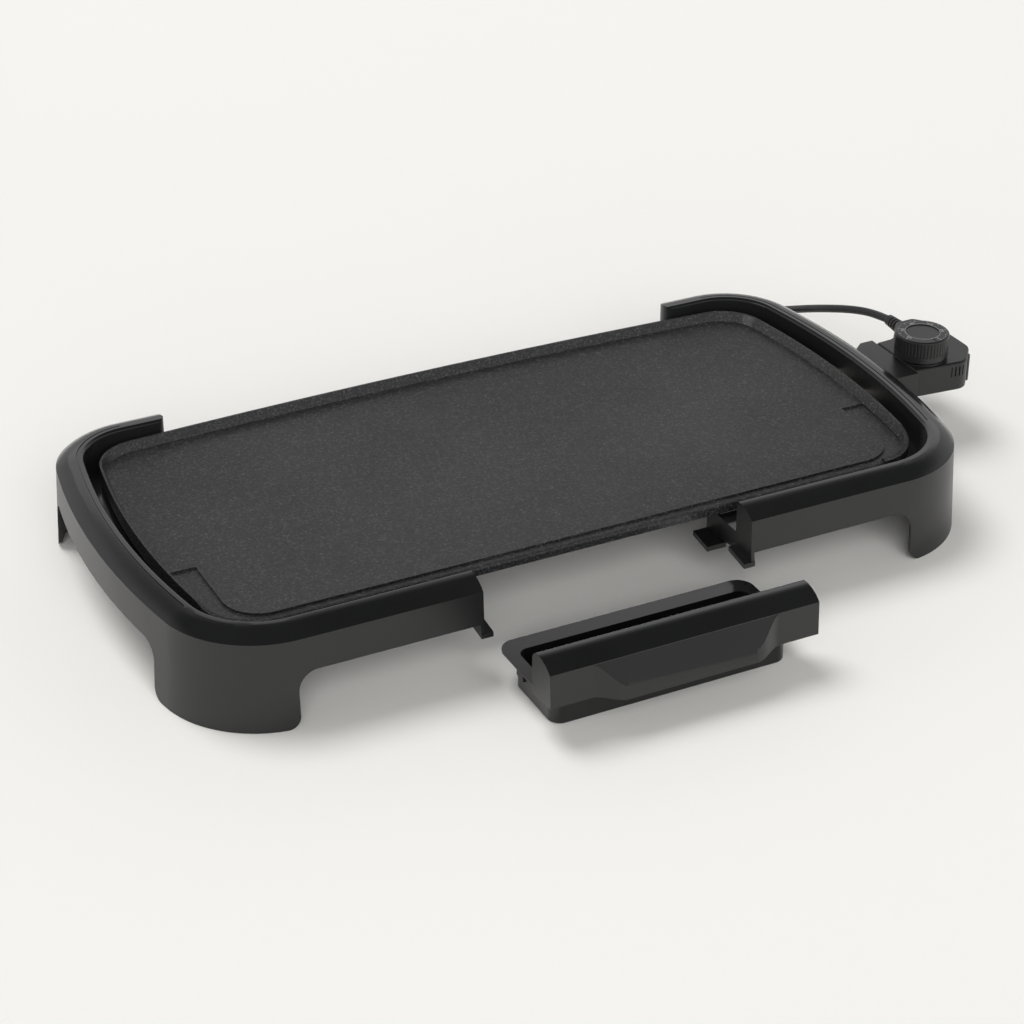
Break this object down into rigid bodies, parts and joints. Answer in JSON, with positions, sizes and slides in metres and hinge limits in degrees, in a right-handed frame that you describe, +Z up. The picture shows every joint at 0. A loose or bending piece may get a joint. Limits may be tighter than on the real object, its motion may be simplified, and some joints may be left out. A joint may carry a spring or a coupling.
{
  "type": "electric griddle",
  "caption": "Long low electric griddle with a non-stick plate, two end shells on legs, a lift-out drip tray with a finger pull and a plug-in heat control.",
  "frame": {"origin": "on the table, under the middle of the whole object: griddle, tray and heat control, without the free cord", "axes": "+Z up, +X along the griddle towards the heat control, +Y from the drip tray's side to the back"},
  "size_m": [0.7017, 0.5113, 0.084],
  "materials": {
    "coated_casting": "dark charcoal non-stick coating, satin, with a fine orange-peel texture",
    "sheath_steel": "dull annealed steel",
    "pin_steel": "nickel-plated, satin",
    "ceramic": "matte off-white ceramic",
    "shell_plastic": "black, semi-gloss top band and satin skirt",
    "screw_steel": "zinc-plated",
    "tray_plastic": "black, glossy inside and satin in front",
    "control_plastic": "black, satin",
    "contact_brass": "bright",
    "lens_plastic": "clear amber-red",
    "cord_rubber": "black, soft satin",
    "tie_plastic": "black"
  },
  "bodies": {
    "base": {"griddle_plate": "coated_casting", "heating_element": "sheath_steel", "element_clamps": "sheath_steel", "terminal_front": "pin_steel", "terminal_back": "pin_steel", "insulator_front": "ceramic", "insulator_back": "ceramic", "left_shell": "shell_plastic", "right_shell": "shell_plastic", "shell_screws": "screw_steel", "socket_shroud": "shell_plastic"},
    "tray": {"tray_tub": "tray_plastic", "tray_front": "tray_plastic"},
    "control": {"control_base": "control_plastic", "control_cover": "control_plastic", "control_screws": "screw_steel", "thermostat_block": "ceramic", "sensor_probe": "pin_steel", "receptacle_front": "contact_brass", "receptacle_back": "contact_brass", "pilot_lens": "lens_plastic", "strain_relief": "cord_rubber", "cord": "cord_rubber", "cord_coil": "cord_rubber", "cord_tie": "tie_plastic", "plug_body": "cord_rubber", "plug_blades": "contact_brass"},
    "dial": {"knob": "control_plastic", "knob_shaft": "pin_steel"}
  },
  "joints": [
    {"name": "tray_slide", "type": "slide", "parent": "base", "child": "tray", "axis": [0, 0.9898, 0.1422], "range_m": [0, 0.0914]},
    {"name": "control_plug_in", "type": "slide", "parent": "base", "child": "control", "axis": [1, 0, 0], "range_m": [0, 0.075]},
    {"name": "dial_turn", "type": "hinge", "parent": "control", "child": "dial", "pos_m": [0.30845, 0.04665, 0.0664], "axis": [0, 0, 1], "range_deg": [-300, 0]}
  ]
}
